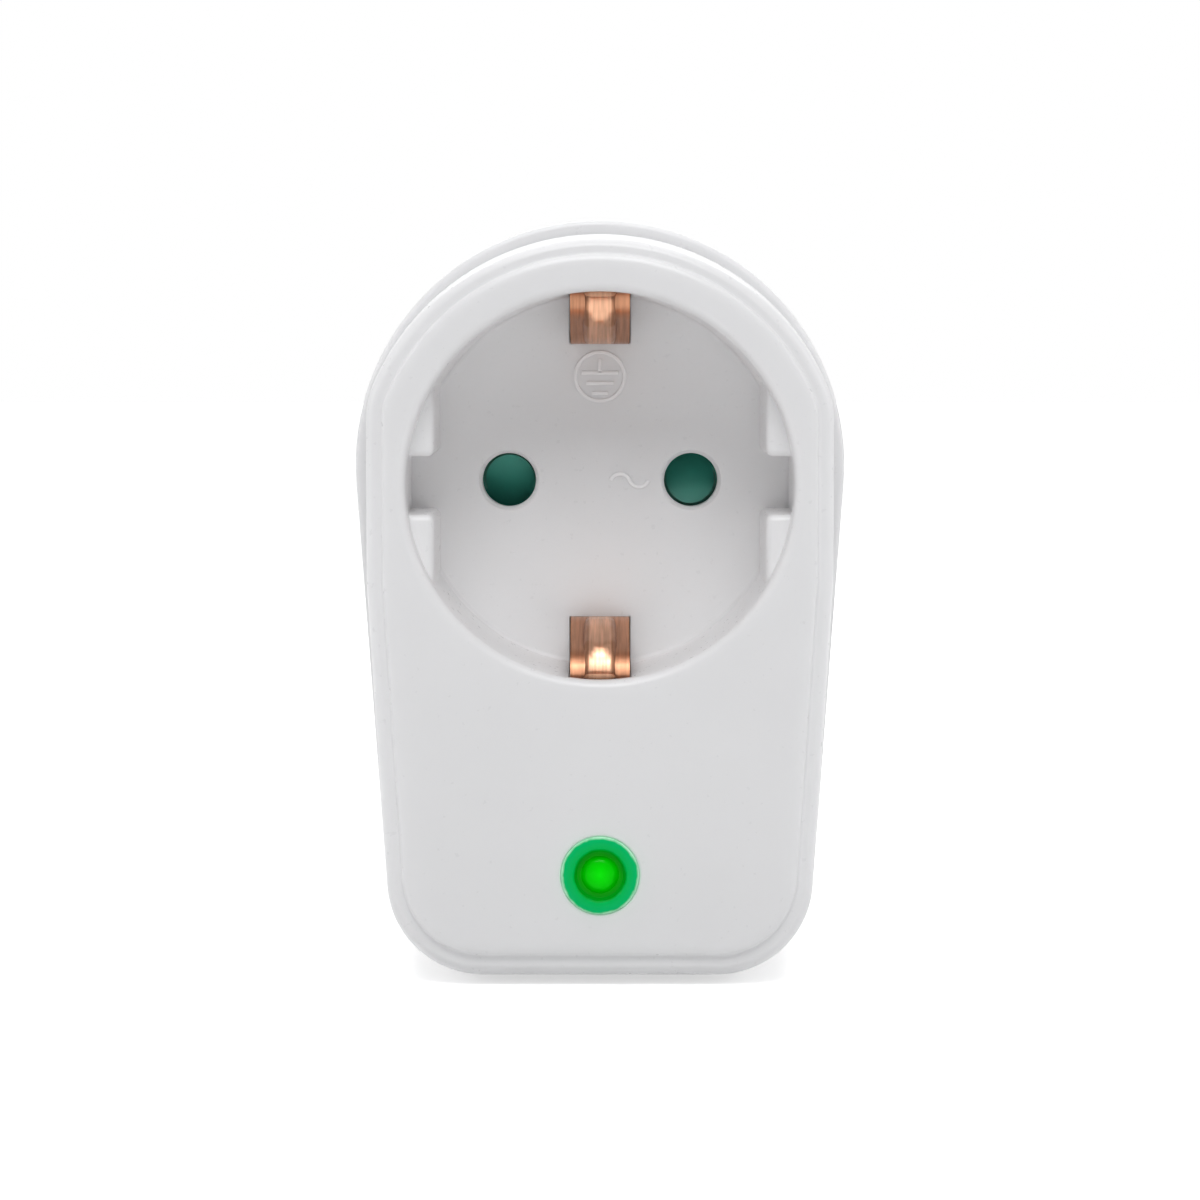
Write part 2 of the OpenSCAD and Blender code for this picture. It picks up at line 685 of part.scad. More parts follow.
// Insulating carrier: a skirt that rests on the recess floor, a plate and two contact towers
module contact_carrier() color("gainsboro") {
    difference() {
        union() {
            rod(carrier_front, carrier_thick, carrier_radius);
            difference() {
                rod(floor_back, carrier_front - floor_back + skin, skirt_inner + skirt_wall);
                rod(floor_back - over, carrier_front - floor_back + over, skirt_inner);
                block([-slot_half - 0.3, slot_half + 0.3], [floor_back - over, carrier_front],
                    [-carrier_radius, carrier_radius]);
            }
            for (x = SIDES)
                block([x * pin_x - tower_x - tower_wall, x * pin_x + tower_x + tower_wall],
                    [carrier_front, tower_end], [-tower_z - tower_wall, tower_z + tower_wall]);
            rod(arm_back + 0.4, carrier_front - arm_back, 0.6, -stop_x(), -stop_z());
            rod(arm_back + 0.4, carrier_front - arm_back, 0.6, stop_x(), stop_z());
        }
        for (x = SIDES) {
            rod(carrier_front - over, carrier_thick + 2 * over, entry_radius, x * pin_x);
            block([x * pin_x - tower_x, x * pin_x + tower_x], [carrier_back, tower_end + over],
                [-tower_z, tower_z]);
        }
        for (s = SIDES) mirror([0, 0, s < 0 ? 1 : 0])
            block([-channel_half, channel_half], [carrier_front - over, carrier_back + over],
                [channel_floor - 0.6, carrier_radius + over]);
    }
}
function stop_x() = skirt_inner - 1;
function stop_z() = arm_half + 1.2;

// Folded contact: two leaves that grip a pin, and a tail to the plug pin
module pin_contact(x) {
    leaf = leaf_gap / 2 + strip_thick / 2;
    wide = leaf + 0.35;
    tip = contact_base - leaf_length;
    tail_z = -(tower_z + tower_wall) - strip_thick / 2;
    half = [[wide, tip], [leaf, tip + leaf_length * 0.28],
        [wide, tip + leaf_length * 0.75], [wide, contact_base]];
    path = concat([for (p = half) [-p[0], p[1]]], [for (i = [3 : -1 : 0]) half[i]]);
    translate([x, 0, 0]) {
        top_sheet(bent(path, 1), strip_thick, leaf_height);
        difference() {
            side_sheet(bent([[contact_base, 0], [contact_base, tail_z], [eyelet_depth, tail_z],
                [eyelet_depth, tail_radius + 1.4]], 1), strip_thick, 4);
            rod(eyelet_depth - over, 2 * over, tail_radius + 0.03);
        }
    }
}

module line_contact() color("peru") pin_contact(-pin_x);
module neutral_contact() color("peru") pin_contact(pin_x);

// Solid plug pin with a round tip, an inner collar and a riveted tail
module plug_pin(x) {
    tip_round = 1.6;
    end = plug_end + pin_length;
    translate([x, 0, 0]) {
        rod(collar_front + 0.4, plug_end - collar_front - 0.4, shank_radius);
        rod(plug_end - over, pin_length - tip_round + over, pin_radius);
        translate([0, back(end - tip_round), 0]) rotate([-90, 0, 0]) rotate_extrude() {
            square([pin_radius - tip_round, tip_round]);
            translate([pin_radius - tip_round, 0]) intersection() {
                circle(r = tip_round);
                square(tip_round);
            }
        }
        rod(collar_front, plug_floor - collar_front, collar_radius);
        rod(eyelet_depth - strip_thick / 2 - 0.1, strip_thick + 0.2, tail_radius);
        cone(eyelet_depth - strip_thick / 2 - 0.7, 0.7, tail_radius, tail_radius + 0.6);
    }
}

module line_pin() color("silver") plug_pin(-pin_x);
module neutral_pin() color("silver") plug_pin(pin_x);

// Earth strip: tucked behind the recess rim, bowed in to a contact bump, then straight
// through the floor and along the plug body, with its end bent over the plug's face.
// A rib pressed along its middle stiffens the bowed part
module earth_strip() {
    hook = slot_outer - 0.2 - strip_thick / 2;
    end = plug_end - 0.45 - strip_thick / 2;
    bump_start = 0.64 * recess_depth;
    bump_end = 0.766 * recess_depth;
    side_sheet(bent([[slot_start + 0.6, hook], [slot_start + 2.2, hook - 0.4],
        [bump_start, earth_bump + 0.2], [bump_end, earth_bump + 0.1],
        [recess_depth + 0.2, earth_radius], [end, earth_radius], [end, slot_inner - 0.6]], 1.2),
        strip_thick, earth_width);
    rib = hook - rib_height;
    side_sheet(bent([[slot_start + 0.8, rib], [slot_start + 2.2, rib - 0.4],
        [bump_start, earth_bump + 0.2 - rib_height], [bump_end + 0.4, earth_bump + 0.1 - rib_height]], 1.2),
        strip_thick, rib_width);
}

module upper_earth_contact() color("peru") earth_strip();
module lower_earth_contact() color("peru") mirror([0, 0, 1]) earth_strip();

// Strip across the axis, with a tab along each earth strip
module earth_bridge() color("peru") {
    tab = earth_radius - strip_thick - 0.05;
    d = carrier_back + 0.51 * rear_room;
    end = d + 0.35 * rear_room;
    side_sheet(bent([[end, tab], [d, tab], [d, -tab], [end, -tab]], 0.8), strip_thick, bridge_width);
}

// Leads from the contacts to the board
module pin_wire(s) {
    tail = -(tower_z + tower_wall) - strip_thick - 0.1 - wire_radius;
    tube(supple([[s * pin_x, back(contact_base + 5), tail], [s * pin_x, back(contact_base + 1), tail],
        [s * pin_x, back(tower_end - 2), tail - 3],
        [s * pin_x, back(carrier_back + 0.54 * rear_room), -0.7 * plug_radius],
        [s * pin_x, back(carrier_back + 0.34 * rear_room), -cup_radius + 1],
        [s * (pin_x + 0.8), back(board_back + 3), board_top - 2],
        [s * (pin_x + 0.8), back(board_back + 1.5), board_top - 2.2],
        [s * (pin_x + 0.8), back(board_back + 0.05), board_top - 2.2]]), wire_radius, [1, 0, 0]);
}

module line_wire() color("saddlebrown") pin_wire(-1);
module neutral_wire() color("steelblue") pin_wire(1);
module earth_wire() color("yellowgreen") {
    start = -(strip_out + 0.1 + wire_radius);
    tube(supple([[0, back(carrier_back + 0.8 * rear_room), start],
        [0, back(carrier_back + 0.4 * rear_room), start],
        [1, back(carrier_back + 0.2 * rear_room), start - 1.5], [3.6, back(board_back + 3), board_top - 1.5],
        [4, back(board_back + 1.5), board_top - 2.2], [4, back(board_back + 0.05), board_top - 2.2]]),
        wire_radius, [1, 0, 0]);
}

// Four screws put in from the wall side
module housing_screws() color("silver") {
    for (x = SIDES) {
        screw(x * upper_screw, upper_screw);
        screw(x * lower_screw_x, lower_screw_z);
    }
}

module screw(x, z) {
    difference() {
        union() {
            rod(screw_tip, head_seat - screw_tip + 0.5, screw_radius, x, z);
            rod(head_seat, head_height, head_radius, x, z);
        }
        for (turn = [0, 90]) translate([x, back(head_seat + head_height), z]) rotate([0, turn, 0])
            cube([2.6, 1.6, 0.6], center = true);
    }
}

front_housing();
rear_housing();
indicator_lens();
led();
led_resistor();
led_diode();
shutter();
shutter_spring();
contact_carrier();
line_contact();
neutral_contact();
line_pin();
neutral_pin();
upper_earth_contact();
lower_earth_contact();
earth_bridge();
surge_board();
varistor_line_neutral();
varistor_line_earth();
varistor_neutral_earth();
thermal_fuse();
line_wire();
neutral_wire();
earth_wire();
housing_screws();
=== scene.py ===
from math import acos, atan2, cos, hypot, pi, radians, sin

import bmesh
import bpy
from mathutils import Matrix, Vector


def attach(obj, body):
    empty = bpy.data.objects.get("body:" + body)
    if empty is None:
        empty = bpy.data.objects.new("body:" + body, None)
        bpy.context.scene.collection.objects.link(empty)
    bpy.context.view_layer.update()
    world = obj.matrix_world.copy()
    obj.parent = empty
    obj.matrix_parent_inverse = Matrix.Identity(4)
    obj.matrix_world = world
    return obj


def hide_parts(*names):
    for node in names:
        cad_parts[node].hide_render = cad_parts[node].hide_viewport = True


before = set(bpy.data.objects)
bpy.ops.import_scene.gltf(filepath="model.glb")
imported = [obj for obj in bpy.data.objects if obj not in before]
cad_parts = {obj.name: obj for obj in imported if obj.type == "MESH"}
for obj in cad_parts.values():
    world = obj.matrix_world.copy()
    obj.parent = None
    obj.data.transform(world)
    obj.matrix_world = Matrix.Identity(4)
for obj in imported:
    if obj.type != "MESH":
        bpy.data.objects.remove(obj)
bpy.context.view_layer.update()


# ---------------------------------------------------------------------------------------
# Front shell: one white glossy plastic moulding with the round socket recess. A raised face
# stands on a narrow ledge, and a lip at the back enters the rear shell.

FRONT = -38.0           # the front face on Y; the wall face is 0
SEAM = 15.0             # depth of the parting line
WALL = 2.2
ARC_STEP = radians(3)
LENS_Z = -39.15
MM = 0.001              # shapes are drawn in millimetres, the scene is in metres
WELD = 0.0005           # points nearer than this become one


def material(name, roughness, metallic=0.0):
    """New material and its shader."""
    mat = bpy.data.materials.new(name)
    mat.use_nodes = True
    shader = mat.node_tree.nodes["Principled BSDF"]
    shader.inputs["Roughness"].default_value = roughness
    shader.inputs["Metallic"].default_value = metallic
    return mat, shader


def cloudy(mat, shader, tones, scale):
    """Colour that drifts between two tones in soft clouds, on Object coordinates."""
    nodes, links = mat.node_tree.nodes, mat.node_tree.links
    place = nodes.new("ShaderNodeTexCoord")
    noise = nodes.new("ShaderNodeTexNoise")
    noise.inputs["Scale"].default_value = scale
    noise.inputs["Detail"].default_value = 3.0
    ramp = nodes.new("ShaderNodeValToRGB")
    ramp.color_ramp.elements[0].position = 0.35
    ramp.color_ramp.elements[1].position = 0.65
    ramp.color_ramp.elements[0].color = (*tones[0], 1)
    ramp.color_ramp.elements[1].color = (*tones[1], 1)
    links.new(place.outputs["Object"], noise.inputs["Vector"])
    links.new(noise.outputs["Fac"], ramp.inputs["Fac"])
    links.new(ramp.outputs["Color"], shader.inputs["Base Color"])
    return ramp


def grain(mat, shader, scale, height, gloss, stretch=(1, 1, 1)):
    """Fine surface grain: a bump, and a roughness that varies between two values."""
    nodes, links = mat.node_tree.nodes, mat.node_tree.links
    place = nodes.new("ShaderNodeTexCoord")
    mapping = nodes.new("ShaderNodeMapping")
    mapping.inputs["Scale"].default_value = stretch
    noise = nodes.new("ShaderNodeTexNoise")
    noise.inputs["Scale"].default_value = scale
    noise.inputs["Detail"].default_value = 4.0
    bump = nodes.new("ShaderNodeBump")
    bump.inputs["Strength"].default_value = 0.6
    bump.inputs["Distance"].default_value = height
    spread = nodes.new("ShaderNodeMapRange")
    spread.inputs["From Min"].default_value = 0.3
    spread.inputs["From Max"].default_value = 0.7
    spread.inputs["To Min"].default_value = gloss[0]
    spread.inputs["To Max"].default_value = gloss[1]
    links.new(place.outputs["Object"], mapping.inputs["Vector"])
    links.new(mapping.outputs["Vector"], noise.inputs["Vector"])
    links.new(noise.outputs["Fac"], bump.inputs["Height"])
    links.new(noise.outputs["Fac"], spread.inputs["Value"])
    links.new(bump.outputs["Normal"], shader.inputs["Normal"])
    links.new(spread.outputs["Result"], shader.inputs["Roughness"])


def normal_turn(a, b):
    """Angle of the outward normal where an outline leaves circle a for circle b."""
    run_x, run_z = b[0] - a[0], b[1] - a[1]
    return atan2(run_z, run_x) + acos(min(1.0, (a[2] - b[2]) / hypot(run_x, run_z)))


def outline(bm, belt, inset, depth):
    """Points round the circles of a belt in their order, clockwise from the top, each arc drawn by a spin."""
    verts = []
    for i, (x, z, r) in enumerate(belt):
        start = normal_turn(belt[i - 1], belt[i])
        turn = (start - normal_turn(belt[i], belt[(i + 1) % len(belt)])) % (2 * pi)
        known = set(bm.verts)
        first = bm.verts.new((x + (r - inset) * cos(start), FRONT + depth, z + (r - inset) * sin(start)))
        bmesh.ops.spin(bm, geom=[first], cent=(x, FRONT + depth, z), axis=(0, 1, 0), angle=turn,
                       steps=max(1, round(turn / ARC_STEP)), use_duplicate=False)
        verts += [v for v in bm.verts if v not in known]
    bmesh.ops.remove_doubles(bm, verts=verts, dist=10 * WELD)
    return [v for v in verts if v.is_valid]


def lofted(sections):
    """Closed body through a row of outlines, joined point to point: each is (belt, inset, depth)."""
    bm = bmesh.new()
    rings = [outline(bm, *section) for section in sections]
    bm.faces.new(rings[0])
    bm.faces.new(rings[-1])
    for a, b in zip(rings, rings[1:]):
        for k in range(len(a)):
            bm.faces.new((a[k - 1], a[k], b[k], b[k - 1]))
    bmesh.ops.recalc_face_normals(bm, faces=bm.faces)
    return bm


def spun(profile, centre=(0.0, 0.0), steps=128):
    """Closed body of revolution about the depth axis: the profile is (radius, depth) from axis to axis."""
    bm = bmesh.new()
    x, z = centre
    verts = [bm.verts.new((x + r, FRONT + d, z)) for r, d in profile]
    edges = [bm.edges.new(pair) for pair in zip(verts, verts[1:])]
    bmesh.ops.spin(bm, geom=verts + edges, cent=(x, 0, z), axis=(0, 1, 0), angle=2 * pi,
                   steps=steps, use_merge=True, use_duplicate=False)
    bmesh.ops.remove_doubles(bm, verts=bm.verts, dist=WELD)
    bmesh.ops.recalc_face_normals(bm, faces=bm.faces)
    return bm


def box(x, depth, z, edge=0.0):
    """Block between two values on X, depth and Z, with its edges rounded."""
    bm = bmesh.new()
    bmesh.ops.create_cube(bm, size=1.0)
    bmesh.ops.scale(bm, vec=(x[1] - x[0], depth[1] - depth[0], z[1] - z[0]), verts=bm.verts)
    bmesh.ops.translate(bm, vec=((x[0] + x[1]) / 2, FRONT + (depth[0] + depth[1]) / 2, (z[0] + z[1]) / 2),
                        verts=bm.verts)
    if edge:
        bmesh.ops.bevel(bm, geom=bm.edges[:], offset=edge, offset_type="OFFSET", affect="EDGES",
                        segments=3, profile=0.5, material=-1, clamp_overlap=True)
    return bm


def rod(depth, radius, centre=(0.0, 0.0), steps=64):
    """Plain round bar along the depth."""
    return spun([(0, depth[0]), (radius, depth[0]), (radius, depth[1]), (0, depth[1])], centre, steps)


def raw_object(bm, name):
    """Object in the scene with the shape as its mesh."""
    mesh = bpy.data.meshes.new(name)
    bm.to_mesh(mesh)
    bm.free()
    obj = bpy.data.objects.new(name, mesh)
    bpy.context.scene.collection.objects.link(obj)
    return obj


def worked(bm, tools, operation):
    """Adds, cuts away or keeps what each tool covers, one after the other."""
    body = raw_object(bm, "blank")
    helpers = [raw_object(tool, "tool") for tool in tools]
    for helper in helpers:
        step = body.modifiers.new("step", "BOOLEAN")
        step.operation = operation
        step.solver = "EXACT"
        step.object = helper
    result = bmesh.new()
    result.from_object(body, bpy.context.evaluated_depsgraph_get())
    for obj in [body] + helpers:
        bpy.data.objects.remove(obj, do_unlink=True)
    bmesh.ops.remove_doubles(result, verts=result.verts, dist=WELD)
    bmesh.ops.dissolve_degenerate(result, edges=result.edges, dist=WELD)
    return result


def piece(name, bm, mat, body="housing", nodes=(), sharp=32):
    """Finished piece in metres at the origin: smooth shaded, with its real edges kept sharp."""
    bmesh.ops.scale(bm, vec=(MM, MM, MM), verts=bm.verts)
    obj = raw_object(bm, name)
    obj.data.materials.append(mat)
    obj.data.shade_smooth()
    obj.data.set_sharp_from_angle(angle=radians(sharp))
    even = obj.modifiers.new("even_shading", "WEIGHTED_NORMAL")
    even.keep_sharp = True
    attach(obj, body)
    if nodes:
        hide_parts(*nodes)


def round_over(start, end, steps, hollow=False):
    """Quarter turn from one (inset, depth) to another; it leaves along the inset, or along the depth if hollow."""
    points = []
    for k in range(steps + 1):
        a = pi / 2 * k / steps
        u, v = (sin(a), 1 - cos(a)) if not hollow else (1 - cos(a), sin(a))
        points.append((start[0] + (end[0] - start[0]) * u, start[1] + (end[1] - start[1]) * v))
    return points


def front_belt(lift=0.0):
    """The outline's circles as (x, z, radius), clockwise from the top; the lift raises the lower corners."""
    return [(0, 0, 25.6), (16.2, 6.879, 8.0), (16.2, -9.5, 8.0), (11.9, -39.9 + lift, 10.4),
            (-11.9, -39.9 + lift, 10.4), (-16.2, -9.5, 8.0), (-16.2, 6.879, 8.0)]


FACE_LIFT = 0.6
LEDGE = 0.85
EDGE_ROUND = 1.55
face_edge = (round_over((3.7, 0.0), (2.45, 0.45), 8)
             + round_over((2.4, LEDGE - 0.25), (2.15, LEDGE), 3, hollow=True))
sections = [(front_belt(FACE_LIFT), inset, depth) for inset, depth in face_edge]
for inset, depth in round_over((1.7, LEDGE), (0.7, LEDGE + EDGE_ROUND), 8):
    left = 1 - (depth - LEDGE) / EDGE_ROUND
    sections.append((front_belt(FACE_LIFT * left / 2), inset, depth))
LIP_INSET = 1.2
LIP_END = SEAM + 1.8
sections += [(front_belt(), inset, depth) for inset, depth in (
    (0.05, SEAM - 0.5), (0.1, SEAM - 0.25), (0.3, SEAM), (LIP_INSET, SEAM), (LIP_INSET, LIP_END),
    (WALL, LIP_END), (WALL + 0.7, 2.8))]
shell = lofted(sections)

RECESS_FLOOR = 17.5
FACE_BACK = 1.8
CUP_BACK, CUP_R = 19.8, 21.1
POST_END, POST_R = 26.3, 2.0
LENS_COLLAR_R = 5.6
PIN_X = 9.5
UPPER_SCREW = 15.0
LOWER_SCREW = (14.5, -42.5)
PILLAR_R = 2.6
additions = [rod((FACE_BACK, CUP_BACK), CUP_R, steps=128), rod((CUP_BACK - 1.0, POST_END), POST_R),
             rod((FACE_BACK, 4.4), LENS_COLLAR_R, (0, LENS_Z))]
for side in (-1, 1):
    additions.append(rod((10.2, 20.0), PILLAR_R, (side * UPPER_SCREW, UPPER_SCREW)))
    additions.append(rod((FACE_BACK, 22.35), PILLAR_R, (side * LOWER_SCREW[0], LOWER_SCREW[1])))
shell = worked(shell, additions, "UNION")

MOUTH = 19.5
RIM = 0.9
FLOOR_R = MOUTH - 0.458
GUIDE_X = 16.7          # inner faces of the guide blocks
GUIDE_Z = 2.95          # half the gap between the blocks of one side
CLEAR = 22.0            # past the wall of the cup
rim = [(MOUTH + RIM - RIM * sin(a), RIM - RIM * cos(a)) for a in [radians(90 * k / 10) for k in range(11)]]
cup = spun([(0, -1.0), (MOUTH + RIM + 0.05, -1.0)] + rim + [(FLOOR_R + 0.3, RECESS_FLOOR - 0.3),
           (FLOOR_R + 0.1, RECESS_FLOOR - 0.08), (FLOOR_R - 0.15, RECESS_FLOOR), (0, RECESS_FLOOR)])
guides = []
for x in (-1, 1):
    for z in (-1, 1):
        guides.append(box(sorted((x * GUIDE_X, x * CLEAR)), (3.0, 20.0), sorted((z * GUIDE_Z, z * CLEAR)), edge=0.7))
cup = worked(cup, guides, "DIFFERENCE")
cup = worked(cup, [box((-19.7, 19.7), (3.0, RECESS_FLOOR), (0.01 - GUIDE_Z, GUIDE_Z - 0.01))], "UNION")

HOLE_R = 2.8            # pin holes
SCREW_BORE = 1.45
LENS_BORE = 3.95
cuts = [cup]
for side in (-1, 1):
    cuts.append(spun([(0, RECESS_FLOOR - 1), (3.3, RECESS_FLOOR - 1), (3.3, RECESS_FLOOR - 0.1),
                      (3.17, RECESS_FLOOR), (HOLE_R + 0.05, RECESS_FLOOR + 0.3), (HOLE_R, RECESS_FLOOR + 0.45),
                      (HOLE_R, 21.0), (0, 21.0)], (side * PIN_X, 0)))
    cuts.append(box((-3.2, 3.2), (1.8, 21.0), sorted((side * 14.3, side * 20.5))))
    cuts.append(rod((11.2, 30.0), SCREW_BORE, (side * UPPER_SCREW, UPPER_SCREW), 32))
    cuts.append(rod((11.2, 30.0), SCREW_BORE, (side * LOWER_SCREW[0], LOWER_SCREW[1]), 32))
cuts.append(spun([(0, -1.0), (4.6, -1.0), (4.3, 0.0), (LENS_BORE + 0.1, 0.12), (LENS_BORE, 0.4),
                  (LENS_BORE, 3.0), (4.7, 3.0), (4.7, 6.0), (0, 6.0)], (0, LENS_Z)))
shell = worked(shell, cuts, "DIFFERENCE")

white, white_shader = material("moulded_white", 0.3)
white_ramp = cloudy(white, white_shader, ((0.825, 0.825, 0.835), (0.84, 0.84, 0.85)), 60.0)
grain(white, white_shader, 1500.0, 0.0000015, (0.27, 0.34))


def painted_corner_shading(mat, shader, colour, tone, reach, local=True):
    """Paints the colour towards another tone where walls stand close: painted light where that tone is paler,
    painted shade where it is darker.
    """
    nodes, links = mat.node_tree.nodes, mat.node_tree.links
    close = nodes.new("ShaderNodeAmbientOcclusion")
    close.inputs["Distance"].default_value = reach
    close.samples = 8
    close.only_local = local
    share = nodes.new("ShaderNodeMapRange")
    share.inputs["From Min"].default_value = 0.85
    share.inputs["From Max"].default_value = 0.35
    mix = nodes.new("ShaderNodeMixRGB")
    mix.inputs["Color2"].default_value = (*tone, 1)
    links.new(close.outputs["AO"], share.inputs["Value"])
    links.new(share.outputs["Result"], mix.inputs["Fac"])
    links.new(colour, mix.inputs["Color1"])
    links.new(mix.outputs["Color"], shader.inputs["Base Color"])


# Painted light: the colour is painted paler in corners and hollows where walls stand close. Thin white plastic also
# lets light through, set by the subsurface below.
painted_corner_shading(white, white_shader, white_ramp.outputs["Color"], (0.97, 0.97, 0.98), 0.02)
white_shader.inputs["Subsurface Weight"].default_value = 0.4
white_shader.inputs["Subsurface Radius"].default_value = (1.0, 1.0, 1.0)
white_shader.inputs["Subsurface Scale"].default_value = 0.002
piece("front_shell", shell, white, nodes=("front_housing",))

# Raised marks on the recess floor: the earth sign in its ring under the upper earth contact, and
# the wave for alternating current beside the right pin hole. They are part of the same moulding.
MARK_HEIGHT = 0.12
MARK_EDGE = 0.05
EARTH_Z = 10.8
RING_R = 2.55
WAVE_R = 1.04
STROKE = 0.19           # half the width of a bar


def raised_bar(x, z, length, tall):
    """Low bar that rises from the recess floor."""
    return box((x - length / 2, x + length / 2), (RECESS_FLOOR - MARK_HEIGHT, RECESS_FLOOR + MARK_EDGE),
               (z - tall / 2, z + tall / 2), edge=MARK_EDGE)


def raised_arc(x, z, radius, start, turn, steps):
    """Low bar bent round a centre, seen from the front."""
    bm = bmesh.new()
    inner, outer = radius - STROKE, radius + STROKE
    foot, top = RECESS_FLOOR + MARK_EDGE, RECESS_FLOOR - MARK_HEIGHT
    corners = [bm.verts.new((x + r * cos(start), FRONT + d, z + r * sin(start))) for r, d in (
        (inner, foot), (inner, top + MARK_EDGE), (inner + 0.06, top),
        (outer - 0.06, top), (outer, top + MARK_EDGE), (outer, foot))]
    face = bm.faces.new(corners)
    full = turn == 2 * pi
    bmesh.ops.spin(bm, geom=[face], cent=(x, 0, z), axis=(0, 1, 0), angle=turn, steps=steps,
                   use_merge=full, use_duplicate=False)
    if full:
        bmesh.ops.delete(bm, geom=[face], context="FACES_ONLY")
    bmesh.ops.remove_doubles(bm, verts=bm.verts, dist=WELD)
    bmesh.ops.recalc_face_normals(bm, faces=bm.faces)
    return bm


def gathered(parts):
    """One mesh from several separate ones."""
    bm = bmesh.new()
    for part in parts:
        mesh = bpy.data.meshes.new("part")
        part.to_mesh(mesh)
        part.free()
        bm.from_mesh(mesh)
        bpy.data.meshes.remove(mesh)
    return bm


earth_sign = [raised_arc(0, EARTH_Z, RING_R, 0.0, 2 * pi, 72),
              raised_bar(0, EARTH_Z + 1.1, 2 * STROKE, 1.5), raised_bar(0, EARTH_Z + 0.38, 3.9, 2 * STROKE),
              raised_bar(0, EARTH_Z - 0.7, 2.9, 2 * STROKE), raised_bar(0, EARTH_Z - 1.75, 1.7, 2 * STROKE)]
wave = [raised_arc(2.1, -0.4, WAVE_R, radians(160), radians(140), 20),
        raised_arc(4.06, 0.31, WAVE_R, radians(-20), radians(140), 20)]
# Painted light: the raised marks are painted paler than the white of the shell they are moulded with.
mark_white, shader = material("mark_white", 0.35)
cloudy(mark_white, shader, ((0.96, 0.96, 0.97), (0.98, 0.98, 0.99)), 300.0)
grain(mark_white, shader, 1500.0, 0.000002, (0.3, 0.4))
piece("earth_sign", gathered(earth_sign), mark_white)
piece("current_wave", gathered(wave), mark_white)


# ---------------------------------------------------------------------------------------
# Indicator: a clear green plug with a bored middle, pushed in from behind, and the lamp that
# stands in the bore. The plug is painted in rings with painted light and glow: the rim lighter than the dark bore
# with its painted shade, a painted highlight at the pale edge, and painted lamp light in the middle, where the lamp
# glows.

def radial_painted_light(mat, shader, centre, reach, tones, glow):
    """Colour and glow that change with the distance from an axis along the depth: painted light, shade and glow in
    rings.
    """
    nodes, links = mat.node_tree.nodes, mat.node_tree.links
    place = nodes.new("ShaderNodeTexCoord")
    flat = nodes.new("ShaderNodeMapping")
    flat.inputs["Location"].default_value = (-centre[0], 0, -centre[1])
    flat.inputs["Scale"].default_value = (1, 0, 1)
    length = nodes.new("ShaderNodeVectorMath")
    length.operation = "LENGTH"
    noise = nodes.new("ShaderNodeTexNoise")
    noise.inputs["Scale"].default_value = 900.0
    wobble = nodes.new("ShaderNodeMath")
    wobble.operation = "MULTIPLY_ADD"
    wobble.inputs[1].default_value = 0.0004
    span = nodes.new("ShaderNodeMapRange")
    span.inputs["From Max"].default_value = reach
    ramp = nodes.new("ShaderNodeValToRGB")
    stops = ramp.color_ramp.elements
    stops[0].position, stops[1].position = tones[0][0], tones[-1][0]
    stops[0].color, stops[1].color = (*tones[0][1], 1), (*tones[-1][1], 1)
    for position, tone in tones[1:-1]:
        stops.new(position).color = (*tone, 1)
    links.new(place.outputs["Object"], flat.inputs["Vector"])
    links.new(flat.outputs["Vector"], length.inputs[0])
    links.new(place.outputs["Object"], noise.inputs["Vector"])
    links.new(noise.outputs["Fac"], wobble.inputs[0])
    links.new(length.outputs["Value"], wobble.inputs[2])
    links.new(wobble.outputs["Value"], span.inputs["Value"])
    links.new(span.outputs["Result"], ramp.inputs["Fac"])
    links.new(ramp.outputs["Color"], shader.inputs["Base Color"])
    links.new(ramp.outputs["Color"], shader.inputs["Emission Color"])
    shader.inputs["Emission Strength"].default_value = glow


LENS_R = 3.92
LENS_FLANGE = 4.6
LAMP_BORE = 2.6
lens_face = [(0, 0.1), (0.6, 0.13), (1.1, 0.22), (1.5, 0.38), (1.75, 0.6), (1.9, 0.75), (2.35, 0.75), (2.5, 0.6),
             (2.58, -0.02), (2.75, -0.2), (3.0, -0.25), (3.45, -0.25), (3.72, -0.19), (3.85, -0.08), (3.91, 0.1)]
lens_side = [(LENS_R, 0.2), (LENS_R, 2.85), (LENS_FLANGE, 2.85), (LENS_FLANGE, 3.65), (LENS_R, 3.65),
             (LENS_R, 8.6), (LAMP_BORE, 8.6), (LAMP_BORE, 3.7)]
lens_dome = [(LAMP_BORE * cos(radians(15 * k)), 3.7 - LAMP_BORE * sin(radians(15 * k))) for k in range(1, 7)]
lens_clear, shader = material("green_lens", 0.12)
shader.inputs["Specular IOR Level"].default_value = 0.05
radial_painted_light(lens_clear, shader, (0, LENS_Z * MM), (LENS_R + 0.2) * MM, (
    (0.0, (0.0, 0.72, 0.0)), (0.36, (0.0, 0.52, 0.0)),          # painted lamp light in the core over the lamp
    (0.54, (0.0, 0.3, 0.0)), (0.66, (0.0, 0.27, 0.01)),         # painted shade on the wall of the bore
    (0.72, (0.0, 0.38, 0.07)), (0.94, (0.0, 0.38, 0.11)),       # rim
    (1.0, (0.4, 0.7, 0.5))), 0.35)                              # painted highlight: the pale edge against the shell
piece("lens", spun(lens_face + lens_side + lens_dome, (0, LENS_Z), 96), lens_clear, nodes=("indicator_lens",))

# The lamp keeps its solid shape.
lamp_resin, shader = material("lamp_resin", 0.15)
cloudy(lamp_resin, shader, ((0.0, 0.8, 0.02), (0.0, 0.9, 0.02)), 300.0)
shader.inputs["Emission Color"].default_value = (0.0, 0.9, 0.05, 1)
shader.inputs["Emission Strength"].default_value = 0.5


def dress(names, mat):
    """Gives pieces that keep their solid shape a finish."""
    for name in names:
        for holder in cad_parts[name].material_slots:
            holder.material = mat


dress(["led"], lamp_resin)


# ---------------------------------------------------------------------------------------
# Shutter: a dark green moulding on the post behind the recess floor. Two opposite ramps turn it
# only when both pins push at once; a steel spring turns it back.

